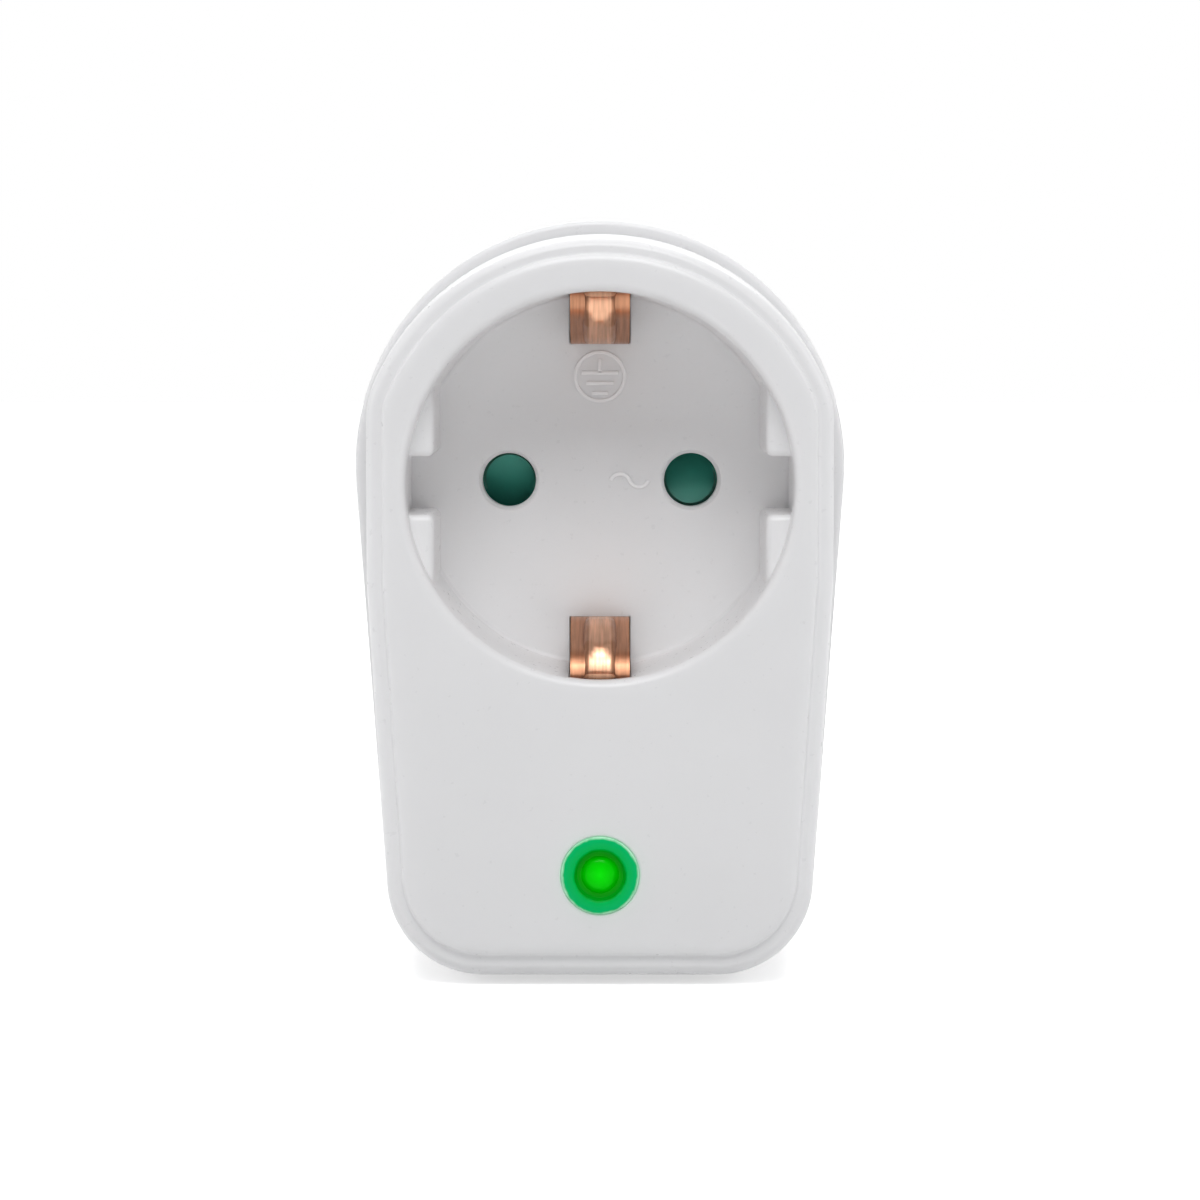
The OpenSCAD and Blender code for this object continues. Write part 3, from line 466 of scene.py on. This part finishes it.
SHUTTER_FRONT = 20.2
ARM_BACK = 24.6
ARM_HALF = 3.2
ARM_REACH = 12.8
HUB_R = 3.8
SLEEVE_R = 2.7
SLEEVE_END = 26.3
RAMP_RISE = 3.2


def ramp_arm(side):
    """One arm, with its sloping front drawn from the side and its edges rounded."""
    bm = bmesh.new()
    corners = [bm.verts.new((0, FRONT + d, side * z)) for d, z in (
        (SHUTTER_FRONT, -ARM_HALF), (SHUTTER_FRONT + RAMP_RISE, ARM_HALF),
        (ARM_BACK, ARM_HALF), (ARM_BACK, -ARM_HALF))]
    face = bm.faces.new(corners)
    grown = bmesh.ops.extrude_face_region(bm, geom=[face])["geom"]
    bmesh.ops.translate(bm, vec=(side * (ARM_REACH - 0.4), 0, 0),
                        verts=[g for g in grown if isinstance(g, bmesh.types.BMVert)])
    bmesh.ops.recalc_face_normals(bm, faces=bm.faces)
    bmesh.ops.bevel(bm, geom=bm.edges[:], offset=0.25, offset_type="OFFSET", affect="EDGES", segments=3,
                    profile=0.5, material=-1, clamp_overlap=True)
    return bm


hub = spun([(0, SHUTTER_FRONT), (HUB_R - 0.2, SHUTTER_FRONT), (HUB_R, SHUTTER_FRONT + 0.2), (HUB_R, ARM_BACK),
            (SLEEVE_R, ARM_BACK), (SLEEVE_R, SLEEVE_END), (0, SLEEVE_END)])
hub = worked(hub, [ramp_arm(1), ramp_arm(-1)], "UNION")
cuts = [rod((18.0, 28.0), POST_R + 0.06)]
for side in (-1, 1):
    groove = rod((18.0, SHUTTER_FRONT + 2.2), HOLE_R + 0.1, (side * PIN_X, 0))
    cuts.append(worked(groove, [rod((17.0, 25.0), HOLE_R - 0.25, (side * PIN_X, 0))], "DIFFERENCE"))
hub = worked(hub, cuts, "DIFFERENCE")
shutter_green, shader = material("shutter_green", 0.32)
cloudy(shutter_green, shader, ((0.046, 0.37, 0.28), (0.054, 0.41, 0.31)), 150.0)
grain(shutter_green, shader, 2500.0, 0.000006, (0.28, 0.4))
piece("shutter_arms", hub, shutter_green, body="shutter", nodes=("shutter",))


def brushed(mat, shader, tones, gloss, stretch):
    """Metal with fine lines along one direction."""
    cloudy(mat, shader, tones, 160.0)
    grain(mat, shader, 900.0, 0.000003, gloss, stretch)


spring_steel, shader = material("spring_steel", 0.3, 1.0)
brushed(spring_steel, shader, ((0.55, 0.55, 0.56), (0.66, 0.66, 0.67)), (0.25, 0.38), (1, 6, 1))
dress(["shutter_spring"], spring_steel)


# ---------------------------------------------------------------------------------------
# Carrier: a matt insulating moulding that holds both pin contacts behind the shutter.

carrier_grey, shader = material("carrier_grey", 0.55)
cloudy(carrier_grey, shader, ((0.68, 0.68, 0.66), (0.74, 0.74, 0.72)), 90.0)
grain(carrier_grey, shader, 1200.0, 0.00001, (0.5, 0.62))
dress(["contact_carrier"], carrier_grey)


# ---------------------------------------------------------------------------------------
# Plug pins: solid nickel-plated brass with rounded tips, pressed into the end wall of the plug
# body. The folded contacts that feed them are the same copper alloy as the earth strips.

PLUG_END = 55.5
PIN_END = 74.5
PIN_R = 2.4
SHANK_R = 2.8
TIP = 1.6
tip = [(PIN_R - TIP + TIP * cos(a), PIN_END - TIP + TIP * sin(a)) for a in [radians(9 * k) for k in range(11)]]
foot = [(0, 50.7), (2.1, 50.7), (1.5, 51.1), (1.5, 51.7), (3.3, 51.7), (3.3, 52.5), (SHANK_R, 52.5),
        (SHANK_R, PLUG_END - 0.25), (SHANK_R - 0.15, PLUG_END - 0.05), (PIN_R, PLUG_END)]
pin_profile = foot + tip + [(0, PIN_END)]
nickel, shader = material("nickel_plate", 0.2, 1.0)
brushed(nickel, shader, ((0.47, 0.46, 0.43), (0.57, 0.56, 0.52)), (0.16, 0.28), (1, 9, 1))
for name, node, x in (("pin_left", "line_pin", -PIN_X), ("pin_right", "neutral_pin", PIN_X)):
    piece(name, spun(pin_profile, (x, 0)), nickel, nodes=(node,))

copper, shader = material("copper_strip", 0.22, 1.0)
cloudy(copper, shader, ((0.80, 0.43, 0.27), (0.90, 0.55, 0.38)), 260.0)
grain(copper, shader, 700.0, 0.000008, (0.14, 0.3), (8, 1, 1))
dress(["line_contact", "neutral_contact", "earth_bridge"], copper)


# ---------------------------------------------------------------------------------------
# Earth contacts: strips of copper alloy, pressed and bent. Each is tucked behind the rim, bows in
# to a ribbed nose that meets the plug, and runs on along the plug body at the back.

STRIP = 0.6
STRIP_HALF = 2.65
NOSE_START, NOSE_END = 5.1, 13.0
RIB, RIB_HALF = 0.42, 1.0
NOSE = 0.4
WIDER = 0.14            # share by which the pressed front spreads
BOW = {1: 14.8, -1: 14.6}
FINE_TO = 18.0          # depth up to which the strip is pressed, and drawn finely


def bent_line(points, radius, steps):
    """Corner points with each corner rounded off."""
    line = [points[0]]
    for before, here, after in zip(points, points[1:], points[2:]):
        reach = []
        for other in (before, after):
            run = hypot(other[0] - here[0], other[1] - here[1])
            share = min(radius, run / 2.1) / run
            reach.append(((other[0] - here[0]) * share, (other[1] - here[1]) * share))
        for k in range(steps + 1):
            u = k / steps
            line.append(tuple(here[i] + reach[0][i] * (1 - u) ** 2 + reach[1][i] * u ** 2 for i in (0, 1)))
    return line + [points[-1]]


def eased(value, low, high):
    """0 up to low, 1 from high, and a smooth rise between."""
    t = min(1.0, max(0.0, (value - low) / (high - low)))
    return t * t * (3 - 2 * t)


def earth_strip(side):
    """The strip drawn from the side, grown across its width, then pressed into its rib and nose."""
    bow = BOW[side]
    route = bent_line([(2.4, 20.0), (3.6, 20.0), (4.4, 19.3), (5.3, 17.8), (12.6, bow), (14.0, bow), (17.7, 17.0),
                       (54.75, 17.0), (54.75, 13.7)], 1.2, 6)
    bm = bmesh.new()
    chain = [bm.verts.new((-STRIP_HALF, FRONT + d, z)) for d, z in route]
    edges = [bm.edges.new(pair) for pair in zip(chain, chain[1:])]
    for edge in edges[:]:
        if edge.verts[1].co.y < FRONT + FINE_TO and edge.calc_length() > 0.6:
            bmesh.ops.subdivide_edges(bm, edges=[edge], cuts=int(edge.calc_length() / 0.25))
    front = bm.edges[:]
    at = -STRIP_HALF
    half = [2.2, 1.7, 1.4, 1.28, 1.16, 1.04, 0.9, 0.7, 0.45, 0.2]
    for column in [-x for x in half] + half[::-1] + [STRIP_HALF]:
        grown = bmesh.ops.extrude_edge_only(bm, edges=front)["geom"]
        bmesh.ops.translate(bm, vec=(column - at, 0, 0),
                            verts=[g for g in grown if isinstance(g, bmesh.types.BMVert)])
        front = [g for g in grown if isinstance(g, bmesh.types.BMEdge)
                 and abs(g.verts[0].co.x - g.verts[1].co.x) < 1e-6]
        at = column
    for v in bm.verts:
        depth = v.co.y - FRONT
        if depth > FINE_TO:
            continue
        across = abs(v.co.x)
        lead = NOSE_START + 2.0 * max(0.0, across - 0.45)
        rib = RIB * (1 - eased(across, RIB_HALF, 1.3)) * (1 - eased(depth, 9.0, 12.5))
        nose = NOSE * (1 - eased(across, RIB_HALF - 0.05, 1.3)) * eased(depth, lead, lead + 0.4)
        nose *= 1 - eased(depth, 11.0, NOSE_END)
        v.co.z -= rib + nose
        if across > 1.5:
            v.co.x *= 1 + WIDER - WIDER * eased(depth, 14.5, 17.0)
    bmesh.ops.recalc_face_normals(bm, faces=bm.faces)
    bmesh.ops.solidify(bm, geom=bm.faces[:], thickness=STRIP)
    if side < 0:
        bmesh.ops.scale(bm, vec=(1, 1, -1), verts=bm.verts)
        bmesh.ops.reverse_faces(bm, faces=bm.faces[:])
    return bm


def sheen_and_shade_copper(mat, shader, painted_rib_sheen, side_tone, corner_shade_tone):
    """Copper with a painted sheen that makes the rib lighter than its sides, painted shade that darkens it where
    walls stand close, and drawn lines.
    """
    nodes, links = mat.node_tree.nodes, mat.node_tree.links
    place = nodes.new("ShaderNodeTexCoord")
    split = nodes.new("ShaderNodeSeparateXYZ")
    across = nodes.new("ShaderNodeMath")
    across.operation = "ABSOLUTE"
    edge = nodes.new("ShaderNodeMapRange")
    edge.inputs["From Min"].default_value = 0.00108
    edge.inputs["From Max"].default_value = 0.0012
    mix = nodes.new("ShaderNodeMixRGB")
    mix.inputs["Color1"].default_value = (*painted_rib_sheen, 1)
    mix.inputs["Color2"].default_value = (*side_tone, 1)
    stretch = nodes.new("ShaderNodeMapping")
    stretch.inputs["Scale"].default_value = (14, 0.6, 0.6)
    lines = nodes.new("ShaderNodeTexNoise")
    lines.inputs["Scale"].default_value = 260.0
    depth_of_lines = nodes.new("ShaderNodeMapRange")
    depth_of_lines.inputs["From Min"].default_value = 0.35
    depth_of_lines.inputs["From Max"].default_value = 0.65
    depth_of_lines.inputs["To Min"].default_value = 0.72
    drawn = nodes.new("ShaderNodeVectorMath")
    drawn.operation = "SCALE"
    links.new(place.outputs["Object"], split.inputs[0])
    links.new(split.outputs["X"], across.inputs[0])
    links.new(across.outputs[0], edge.inputs["Value"])
    links.new(edge.outputs["Result"], mix.inputs["Fac"])
    links.new(place.outputs["Object"], stretch.inputs["Vector"])
    links.new(stretch.outputs["Vector"], lines.inputs["Vector"])
    links.new(lines.outputs["Fac"], depth_of_lines.inputs["Value"])
    links.new(mix.outputs["Color"], drawn.inputs[0])
    links.new(depth_of_lines.outputs["Result"], drawn.inputs["Scale"])
    painted_corner_shading(mat, shader, drawn.outputs[0], corner_shade_tone, 0.004, local=False)


# Earth strip copper: the rib is painted lighter than its sides as a painted sheen, and painted shade darkens the
# copper in corners.
strip_copper, shader = material("sheen_and_shade_copper", 0.25, 1.0)
grain(strip_copper, shader, 700.0, 0.000006, (0.28, 0.42), (8, 1, 1))
sheen_and_shade_copper(strip_copper, shader, (0.8, 0.45, 0.29), (0.54, 0.26, 0.15), (0.16, 0.08, 0.05))
piece("earth_strip_upper", earth_strip(1), strip_copper, nodes=("upper_earth_contact",), sharp=50)
piece("earth_strip_lower", earth_strip(-1), strip_copper, nodes=("lower_earth_contact",), sharp=50)


# ---------------------------------------------------------------------------------------
# Surge board: green laminate with three blue disc varistors, a thermal fuse, and the resistor and
# diode that feed the lamp. Every part stands on its leads in the board's holes.

laminate, shader = material("board_laminate", 0.35)
cloudy(laminate, shader, ((0.03, 0.2, 0.08), (0.05, 0.26, 0.12)), 120.0)
grain(laminate, shader, 1800.0, 0.00001, (0.3, 0.45), (3, 1, 1))
dress(["surge_board"], laminate)
disc_blue, shader = material("varistor_blue", 0.4)
cloudy(disc_blue, shader, ((0.05, 0.16, 0.48), (0.09, 0.22, 0.6)), 150.0)
grain(disc_blue, shader, 700.0, 0.00003, (0.35, 0.5))
dress(["varistor_line_neutral", "varistor_line_earth", "varistor_neutral_earth"], disc_blue)
fuse_steel, shader = material("fuse_steel", 0.35, 1.0)
brushed(fuse_steel, shader, ((0.58, 0.58, 0.59), (0.68, 0.68, 0.69)), (0.3, 0.42), (4, 4, 1))
dress(["thermal_fuse"], fuse_steel)
resistor_tan, shader = material("resistor_tan", 0.45)
cloudy(resistor_tan, shader, ((0.62, 0.5, 0.34), (0.74, 0.62, 0.44)), 400.0)
grain(resistor_tan, shader, 1500.0, 0.00001, (0.4, 0.55))
dress(["led_resistor"], resistor_tan)
diode_black, shader = material("diode_black", 0.4)
cloudy(diode_black, shader, ((0.03, 0.03, 0.03), (0.06, 0.06, 0.06)), 400.0)
grain(diode_black, shader, 1500.0, 0.00001, (0.35, 0.5))
dress(["led_diode"], diode_black)


# ---------------------------------------------------------------------------------------
# Leads: stranded copper in soft insulation, brown for line, blue for neutral, and green with
# yellow for earth. They join the contacts to the board.

for node, name, tones in (("line_wire", "brown_insulation", ((0.2, 0.09, 0.04), (0.28, 0.13, 0.06))),
                          ("neutral_wire", "blue_insulation", ((0.06, 0.16, 0.45), (0.1, 0.24, 0.56))),
                          ("earth_wire", "green_yellow_insulation", ((0.1, 0.35, 0.06), (0.75, 0.65, 0.05)))):
    insulation, shader = material(name, 0.4)
    cloudy(insulation, shader, tones, 260.0)
    grain(insulation, shader, 1500.0, 0.00001, (0.35, 0.5))
    dress([node], insulation)


# ---------------------------------------------------------------------------------------
# Rear shell: one white moulding, a little larger than the front shell, with the hollow plug body
# on its back. The front shell's lip enters a rebate in its rim.

REAR_WALL = 35.8
BODY = 38.0
PLUG_R = 18.4
rear_belt = [(0, 1.55, 25.45), (11.9, -39.9, 10.6), (-11.9, -39.9, 10.6)]
rear_edge = [(WALL, REAR_WALL), (WALL, 15.1)] + round_over((0.6, 15.1), (0.0, 15.7), 5)
rear_edge += round_over((0.0, 35.5), (2.5, BODY), 8, hollow=True)
rear = lofted([(rear_belt, inset, depth) for inset, depth in rear_edge])
LIP_PLAY = 0.15
rebate = [(front_belt(), LIP_INSET - LIP_PLAY, depth) for depth in (SEAM - 1.0, LIP_END + LIP_PLAY)]
rear = worked(rear, [lofted(rebate)], "DIFFERENCE")

PLUG_EDGE = 0.8
plug_edge = [(PLUG_R - PLUG_EDGE + PLUG_EDGE * cos(a), PLUG_END - PLUG_EDGE + PLUG_EDGE * sin(a))
             for a in [radians(15 * k) for k in range(7)]]
plug = spun([(0, 35.9), (PLUG_R, 35.9)] + plug_edge + [(0, PLUG_END)])
flats = [box(sorted((x * 16.2, x * 20.0)), (35.0, 60.0), sorted((z * 2.7, z * 20.0)), edge=0.3)
         for x in (-1, 1) for z in (-1, 1)]
plug = worked(plug, flats, "DIFFERENCE")
additions = [plug]
for side in (-1, 1):
    for x, z, start in ((side * UPPER_SCREW, UPPER_SCREW, 20.0), (side * LOWER_SCREW[0], LOWER_SCREW[1], 24.05)):
        additions.append(spun([(0, start), (PILLAR_R, start), (PILLAR_R, 28.7), (3.5, 28.7), (3.5, 36.8), (0, 36.8)],
                              (x, z), 48))
    for up in (-1, 1):
        additions.append(rod((28.4, 36.8), 1.2, (side * 15.407, up * 7.185), 32))
rear = worked(rear, additions, "UNION")

SLOT_HALF = 2.9         # half the width of the slots for the earth strips
hollow = worked(rod((34.8, 52.5), PLUG_R - WALL, steps=96),
                [box((-14.0, 14.0), (33.0, 54.0), (-14.65, 14.65))], "INTERSECT")
cuts = [hollow]
for side in (-1, 1):
    cuts.append(spun([(0, 50.0), (SHANK_R + 0.03, 50.0), (SHANK_R + 0.03, 55.2), (SHANK_R + 0.35, 55.5),
                      (SHANK_R + 0.9, 57.0), (0, 57.0)], (side * PIN_X, 0)))
    for x, z in ((side * UPPER_SCREW, UPPER_SCREW), (side * LOWER_SCREW[0], LOWER_SCREW[1])):
        cuts.append(spun([(0, 18.0), (1.6, 18.0), (1.6, 29.5), (2.5, 29.5), (2.5, 37.8), (2.7, 38.0), (3.7, 39.0),
                          (0, 39.0)], (x, z), 48))
    cuts.append(box((-SLOT_HALF, SLOT_HALF), (34.8, 39.0), sorted((side * 16.65, side * 17.4))))
    cuts.append(box((-SLOT_HALF, SLOT_HALF), (38.01, 56.5), sorted((side * 16.65, side * 19.6))))
    cuts.append(box((-SLOT_HALF, SLOT_HALF), (54.35, 56.5), sorted((side * 13.3, side * 19.6))))
rear = worked(rear, cuts, "DIFFERENCE")
piece("rear_shell", rear, white, nodes=("rear_housing",))


# ---------------------------------------------------------------------------------------
# Four steel screws put in from the wall side, with a cross recess in each sunk head.

SEAT = 29.5
HEAD, HEAD_R = 1.6, 2.3
SHANK = 1.4
CROSS_LONG, CROSS_HALF = 1.3, 0.3
heads = []
for side in (-1, 1):
    for x, z in ((side * UPPER_SCREW, UPPER_SCREW), (side * LOWER_SCREW[0], LOWER_SCREW[1])):
        screw = spun([(0, 12.2), (0.6, 12.2), (SHANK, 13.4), (SHANK, SEAT), (HEAD_R, SEAT), (HEAD_R, SEAT + 0.9),
                      (2.1, SEAT + 1.3), (1.5, SEAT + HEAD), (0, SEAT + HEAD)], (x, z), 40)
        cross = [box((x - a, x + a), (SEAT + 0.8, SEAT + 3.0), (z - b, z + b))
                 for a, b in ((CROSS_LONG, CROSS_HALF), (CROSS_HALF, CROSS_LONG))]
        heads.append(worked(screw, cross, "DIFFERENCE"))
screw_steel, shader = material("screw_steel", 0.3, 1.0)
brushed(screw_steel, shader, ((0.5, 0.5, 0.5), (0.62, 0.62, 0.62)), (0.25, 0.4), (1, 1, 1))
piece("screws", gathered(heads), screw_steel, nodes=("housing_screws",))


# ---------------------------------------------------------------------------------------
# Studio: a plain pale floor that takes the shadow, a white room, five soft lamps and the camera,
# which stands where it stood for the photograph. None of it belongs to the part.

FLOOR_Z = -0.0506
bm = bmesh.new()
bmesh.ops.create_grid(bm, x_segments=1, y_segments=1, size=3.0)
bmesh.ops.translate(bm, vec=(0, 0, FLOOR_Z), verts=bm.verts)
floor = raw_object(bm, "floor")
floor_mat, shader = material("pale_floor", 0.8)
shader.inputs["Base Color"].default_value = (0.85, 0.85, 0.85, 1)
floor.data.materials.append(floor_mat)


def seen_white(tree, dull, glow):
    """Mixes in plain white for the rays that come from the camera, a reflection or glass."""
    paths = tree.nodes.new("ShaderNodeLightPath")
    most = None
    for name in ("Is Camera Ray", "Is Glossy Ray", "Is Transmission Ray"):
        if most is None:
            most = paths.outputs[name]
            continue
        step = tree.nodes.new("ShaderNodeMath")
        step.operation = "MAXIMUM"
        tree.links.new(most, step.inputs[0])
        tree.links.new(paths.outputs[name], step.inputs[1])
        most = step.outputs[0]
    mix = tree.nodes.new("ShaderNodeMixShader")
    tree.links.new(most, mix.inputs[0])
    tree.links.new(dull, mix.inputs[1])
    tree.links.new(glow, mix.inputs[2])
    return mix.outputs[0]


tree = floor_mat.node_tree
glow = tree.nodes.new("ShaderNodeEmission")
place = tree.nodes.new("ShaderNodeTexCoord")
reach = tree.nodes.new("ShaderNodeVectorMath")
reach.operation = "LENGTH"
brighter = tree.nodes.new("ShaderNodeMapRange")
brighter.inputs["From Min"].default_value = 0.06
brighter.inputs["From Max"].default_value = 0.30
brighter.inputs["To Min"].default_value = 0.55
brighter.inputs["To Max"].default_value = 1.0
tree.links.new(place.outputs["Object"], reach.inputs[0])
tree.links.new(reach.outputs["Value"], brighter.inputs["Value"])
tree.links.new(brighter.outputs["Result"], glow.inputs["Strength"])
both = tree.nodes.new("ShaderNodeAddShader")
tree.links.new(shader.outputs[0], both.inputs[0])
tree.links.new(glow.outputs[0], both.inputs[1])
tree.links.new(seen_white(tree, shader.outputs[0], both.outputs[0]),
               tree.nodes["Material Output"].inputs["Surface"])

world = bpy.data.worlds.new("studio")
bpy.context.scene.world = world
world.use_nodes = True
tree = world.node_tree
soft = tree.nodes["Background"]
soft.inputs["Color"].default_value = (0.985, 0.985, 1.0, 1)
soft.inputs["Strength"].default_value = 0.19
white_sky = tree.nodes.new("ShaderNodeBackground")
white_sky.inputs["Color"].default_value = (1, 1, 1, 1)
tree.links.new(seen_white(tree, soft.outputs[0], white_sky.outputs[0]),
               tree.nodes["World Output"].inputs["Surface"])


def soft_light(name, place, aim, size, power):
    """Area lamp that faces a point."""
    light = bpy.data.lights.new(name, "AREA")
    light.shape = "RECTANGLE"
    light.size, light.size_y = size
    light.energy = power
    lamp_object = bpy.data.objects.new(name, light)
    bpy.context.scene.collection.objects.link(lamp_object)
    lamp_object.location = place
    lamp_object.rotation_euler = (Vector(aim) - Vector(place)).to_track_quat("-Z", "Y").to_euler()


soft_light("top_softbox", (0, -0.42, 0.46), (0, -0.03, -0.005), (0.4, 0.2), 1.72)
soft_light("sky_softbox", (0, 0.05, 0.6), (0, 0, 0), (0.6, 0.6), 1.5)
soft_light("back_softbox", (0, 0.55, 0.35), (0, 0, 0), (0.5, 0.3), 0.9)
soft_light("left_softbox", (-0.6, 0.0, 0.1), (0, -0.02, -0.01), (0.4, 0.6), 1.0)
soft_light("right_softbox", (0.6, 0.0, 0.1), (0, -0.02, -0.01), (0.4, 0.6), 1.0)

camera = bpy.data.cameras.new("camera")
camera.angle = radians(18.3)
eye = bpy.data.objects.new("camera", camera)
bpy.context.scene.collection.objects.link(eye)
eye.location = (0, -0.410, 0.0156)
eye.rotation_euler = (radians(90 - 4.14), 0, 0)
bpy.context.scene.camera = eye
bpy.context.scene.view_settings.view_transform = "Standard"
